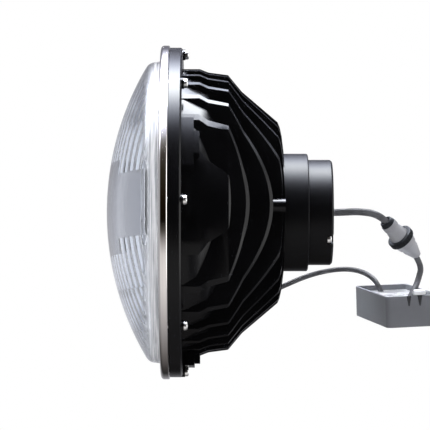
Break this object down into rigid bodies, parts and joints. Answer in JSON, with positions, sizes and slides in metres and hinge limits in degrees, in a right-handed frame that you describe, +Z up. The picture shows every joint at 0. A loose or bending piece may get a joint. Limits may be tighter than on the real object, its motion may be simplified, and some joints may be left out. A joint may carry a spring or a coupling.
{
  "type": "motorcycle headlight",
  "caption": "Round LED motorcycle headlight insert: fluted dome lens, nickel bezel ring, finned black housing, and a lead to an in-line plug and a potted decoder box.",
  "frame": {"origin": "on the lamp's axis, in the plane of the flange's rear face that seats on the lamp bucket", "axes": "+X along the lamp's axis towards the heat sink's rear, light leaves towards -X, +Z up"},
  "size_m": [0.1784, 0.1945, 0.178],
  "materials": {
    "clear_lens": "clear, glossy, fluted inside",
    "satin_nickel": "satin brushed nickel",
    "black_casting": "satin black powder coat on die-cast aluminium",
    "black_turned": "semi-gloss black anodised aluminium",
    "zinc_screw": "bright zinc plate",
    "reflector_metal": "aluminised plastic",
    "black_plastic": "satin black",
    "seal_rubber": "matte black",
    "thermal_pad": "grey silicone",
    "board_white": "white solder mask",
    "led_yellow": "phosphor yellow",
    "board_green": "green solder mask",
    "brass": "bare brass",
    "copper_wire": "red insulated wire",
    "ferrite": "dark ferrite",
    "can_aluminium": "bare aluminium can",
    "cable_black": "glossy dark grey PVC",
    "connector_dark": "satin black nylon",
    "connector_grey": "grey moulded PVC",
    "case_grey": "mid grey moulded plastic",
    "potting_white": "pale cured resin"
  },
  "bodies": {
    "root": {"lens": "clear_lens", "lens_gasket": "seal_rubber", "bezel_ring": "satin_nickel", "rim_screws": "zinc_screw", "heat_sink_housing": "black_casting", "reflector": "reflector_metal", "reflector_screws": "zinc_screw", "inner_trim_ring": "black_plastic", "thermal_pad": "thermal_pad", "led_board": "board_white", "low_beam_leds": "led_yellow", "high_beam_leds": "led_yellow", "led_board_screws": "zinc_screw", "led_wires": "copper_wire", "driver_board": "board_green", "driver_standoffs": "brass", "driver_screws": "zinc_screw", "power_inductor": "ferrite", "capacitors": "can_aluminium", "regulator_chips": "ferrite", "collar_seal": "seal_rubber", "rear_collar": "black_turned", "collar_screws": "zinc_screw", "cap_seal": "seal_rubber", "rear_cap": "black_turned", "cap_screws": "zinc_screw", "cable_grommet": "seal_rubber", "lamp_lead": "cable_black", "plug_grip": "connector_dark", "plug_body": "connector_grey", "connector_seal": "seal_rubber", "connector_pins": "brass", "coupling_nut": "connector_dark", "socket_body": "connector_grey", "socket_boot": "connector_grey", "box_lead": "cable_black", "wire_clip": "potting_white", "decoder_case": "case_grey", "slot_seals": "seal_rubber", "decoder_board": "board_green", "potting": "potting_white", "output_lead": "cable_black", "h4_plug_body": "connector_dark", "h4_plug_blades": "brass"}
  },
  "joints": []
}
